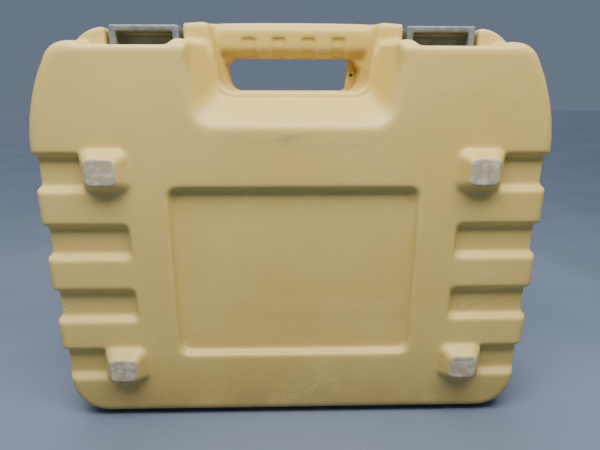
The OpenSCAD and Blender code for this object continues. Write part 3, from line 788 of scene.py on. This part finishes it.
tinned_legs = metal_finish("tinned_legs", (0.52, 0.52, 0.52), (0.74, 0.74, 0.73), 0.28, 900.0, 2.0)
LEG_X = ((-0.00022, -0.00045, -0.0007), (0.00022, 0.00045, 0.0007))  # in rows along X
LEG_Y = ((-0.0007, -0.00045, -0.00022), (0.0007, 0.00045, 0.00022))  # in rows along Y
fifteen, eight = [1.05 * i for i in range(15)], [1.5 * i for i in range(8)]
for name, leg_box, leg_spots in (
        ("processor_legs_0", LEG_X, [(-7.6 + i, y) for i in fifteen for y in (-70.55, -51.45)]),
        ("processor_legs_1", LEG_Y, [(x, -68.4 + i) for i in fifteen for x in (-9.55, 9.55)]),
        ("memory_legs_0", LEG_X, [(-29.2 + i, y) for i in eight for y in (-20.55, -11.45)])):
    leg = block("leg", *leg_box, 0.00012, 1)
    legs = repeated(name, leg, [reader_place(x, y, 11.5) for x, y in leg_spots], tinned_legs)
    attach(legs, "base")


# ---- Keypad mat and keys ----
# A moulded silicone mat gives each key its spring. The keys are two-colour moulded plastic, with
# their signs printed on in white, and a flange under the cover keeps each of them in.
silicone, tree, surface = new_finish("mat_silicone", 0.58)
tree.links.new(mixed(tree, place(tree, drift, Scale=45.0, Sharpness=0.1),
                     (0.46, 0.46, 0.44, 1), (0.54, 0.54, 0.52, 1)), surface["Base Color"])
tree.links.new(bumped(tree, place(tree, grain, Scale=1600.0), 0.2, 0.0001), surface["Normal"])
finish_node("keypad_mat", silicone)

key_plastics = {
    name: moulded_finish(name + "_plastic", colour, shade, wear_and_highlight, 0.40, 120.0, 2200.0, 0.25, 0.04)
    for name, colour, shade, wear_and_highlight in (
        ("key_grey", (0.22, 0.225, 0.23), (0.25, 0.255, 0.26), (0.34, 0.34, 0.34)),
        ("key_green", (0.025, 0.16, 0.055), (0.035, 0.19, 0.070), (0.10, 0.30, 0.14)),
        ("key_red", (0.33, 0.030, 0.022), (0.38, 0.040, 0.028), (0.50, 0.14, 0.11)))}
sign_paint = moulded_finish("sign_paint", (0.72, 0.72, 0.70), (0.66, 0.66, 0.64),
                            (0.55, 0.55, 0.53), 0.50, 150.0, 3000.0, 0.2, 0.5)
# A sign's foot lies just inside the key's top, and its face narrows by a little
SIGN_FOOT, SIGN_FACE, SIGN_DRAFT = 33.52, 33.68, 0.985


def sign(name, shapes, at):
    """Flat raised shapes on a key's top, each a list of points in mm round the key's middle."""
    work = bmesh.new()
    for outline in shapes:
        low = [work.verts.new(reader_place(at[0] + x, at[1] + y, SIGN_FOOT)) for x, y in outline]
        high = [work.verts.new(reader_place(at[0] + x * SIGN_DRAFT, at[1] + y * SIGN_DRAFT,
                                            SIGN_FACE)) for x, y in outline]
        work.faces.new(low)
        work.faces.new(high)
        for i in range(len(outline)):
            j = (i + 1) % len(outline)
            work.faces.new((low[i], low[j], high[j], high[i]))
    bmesh.ops.recalc_face_normals(work, faces=work.faces)
    made = made_from(name, work)
    made.data.materials.append(sign_paint)
    return made


def turned(outline, degrees):
    c, s = math.cos(math.radians(degrees)), math.sin(math.radians(degrees))
    return [(x * c - y * s, x * s + y * c) for x, y in outline]


def ring_pieces(cx, cy, inner, outer, count):
    """A ring as short flat pieces."""
    pieces = []
    for i in range(count):
        a, b = (math.radians(360 * k / count) for k in (i, i + 1))
        pieces.append([(cx + r * math.cos(t), cy + r * math.sin(t)) for r, t in
                       ((inner, a), (outer, a), (outer, b), (inner, b))])
    return pieces


arrow = [(-2.6, -1.6), (2.6, -1.6), (0.0, 2.6)]
hooked_arrow = [(-3.6, 0.2), (-2.6, 1.2), (-0.9, -0.7), (3.0, 3.2), (4.0, 2.2), (-0.9, -2.7)]
back_head, back_shaft = ([(-4.0, 0.0), (-0.8, 2.4), (-0.8, -2.4)],
                         [(-0.8, 0.6), (3.6, 0.6), (3.6, -0.6), (-0.8, -0.6)])
lens_handle = turned([(1.7, -0.45), (5.0, -0.45), (5.0, 0.45), (1.7, 0.45)], -45)
signs = {
    "up": (0, -17, [arrow]), "down": (0, -57, [turned(arrow, 180)]),
    "left": (-22, -37, [turned(arrow, 90)]), "right": (22, -37, [turned(arrow, -90)]),
    "enter": (0, -37, [hooked_arrow]), "back": (-26, -72, [back_head, back_shaft]),
    "scan": (26, -72, ring_pieces(-0.8, 0.8, 1.6, 2.4, 20) + [lens_handle])}
for name, (x, y, shapes) in signs.items():
    finish = {"enter": "key_green", "scan": "key_red"}.get(name, "key_grey")
    cap = softened("%s_cap" % name, "key_" + name, 0.00028, 0.0004, 14000)
    cap.data.materials.append(key_plastics[finish])
    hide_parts("key_" + name)
    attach(cap, "key_" + name)
    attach(sign("%s_sign" % name, shapes, (x, y)), "key_" + name)


# ---- Lamps ----
# Three light pipes of tinted clear plastic, pressed into the front cover. They carry the light of
# small lamps on the board to the face.
for name, colour, shade in (("lamp_green", (0.03, 0.42, 0.07), (0.05, 0.50, 0.10)),
                            ("lamp_yellow", (0.72, 0.46, 0.03), (0.80, 0.54, 0.05)),
                            ("lamp_red", (0.58, 0.03, 0.02), (0.66, 0.05, 0.03))):
    pipe, tree, surface = new_finish(name + "_pipe", 0.12)
    surface["Transmission Weight"].default_value = 0.45
    tree.links.new(mixed(tree, place(tree, drift, Scale=300.0, Sharpness=0.1),
                         (*colour, 1), (*shade, 1)), surface["Base Color"])
    gloss = place(tree, drift, Scale=500.0, Sharpness=0.1)
    tree.links.new(ranged(tree, gloss, 0.0, 1.0, 0.08, 0.18), surface["Roughness"])
    finish_node(name, pipe)


# ---- Cable socket and service port ----
# The fifteen-way socket is a tinned steel shell round a black insert with gold-flashed contacts,
# held by two jack nuts. The small service port at the other end is folded steel.
socket_steel = metal_finish("socket_steel", (0.44, 0.44, 0.43), (0.68, 0.68, 0.66),
                            0.28, 500.0, 6.0)
for name in ("socket_shell", "jack_nuts", "usb_socket"):
    finish_node(name, socket_steel)
finish_node("socket_insert", moulded_finish(
    "insert_plastic", (0.020, 0.021, 0.023), (0.028, 0.029, 0.031), (0.08, 0.08, 0.08),
    0.42, 120.0, 2500.0, 0.25, 0.3))
finish_node("socket_contacts", metal_finish("contact_gold", (0.58, 0.38, 0.12),
                                            (0.82, 0.60, 0.24), 0.24, 900.0, 4.0))
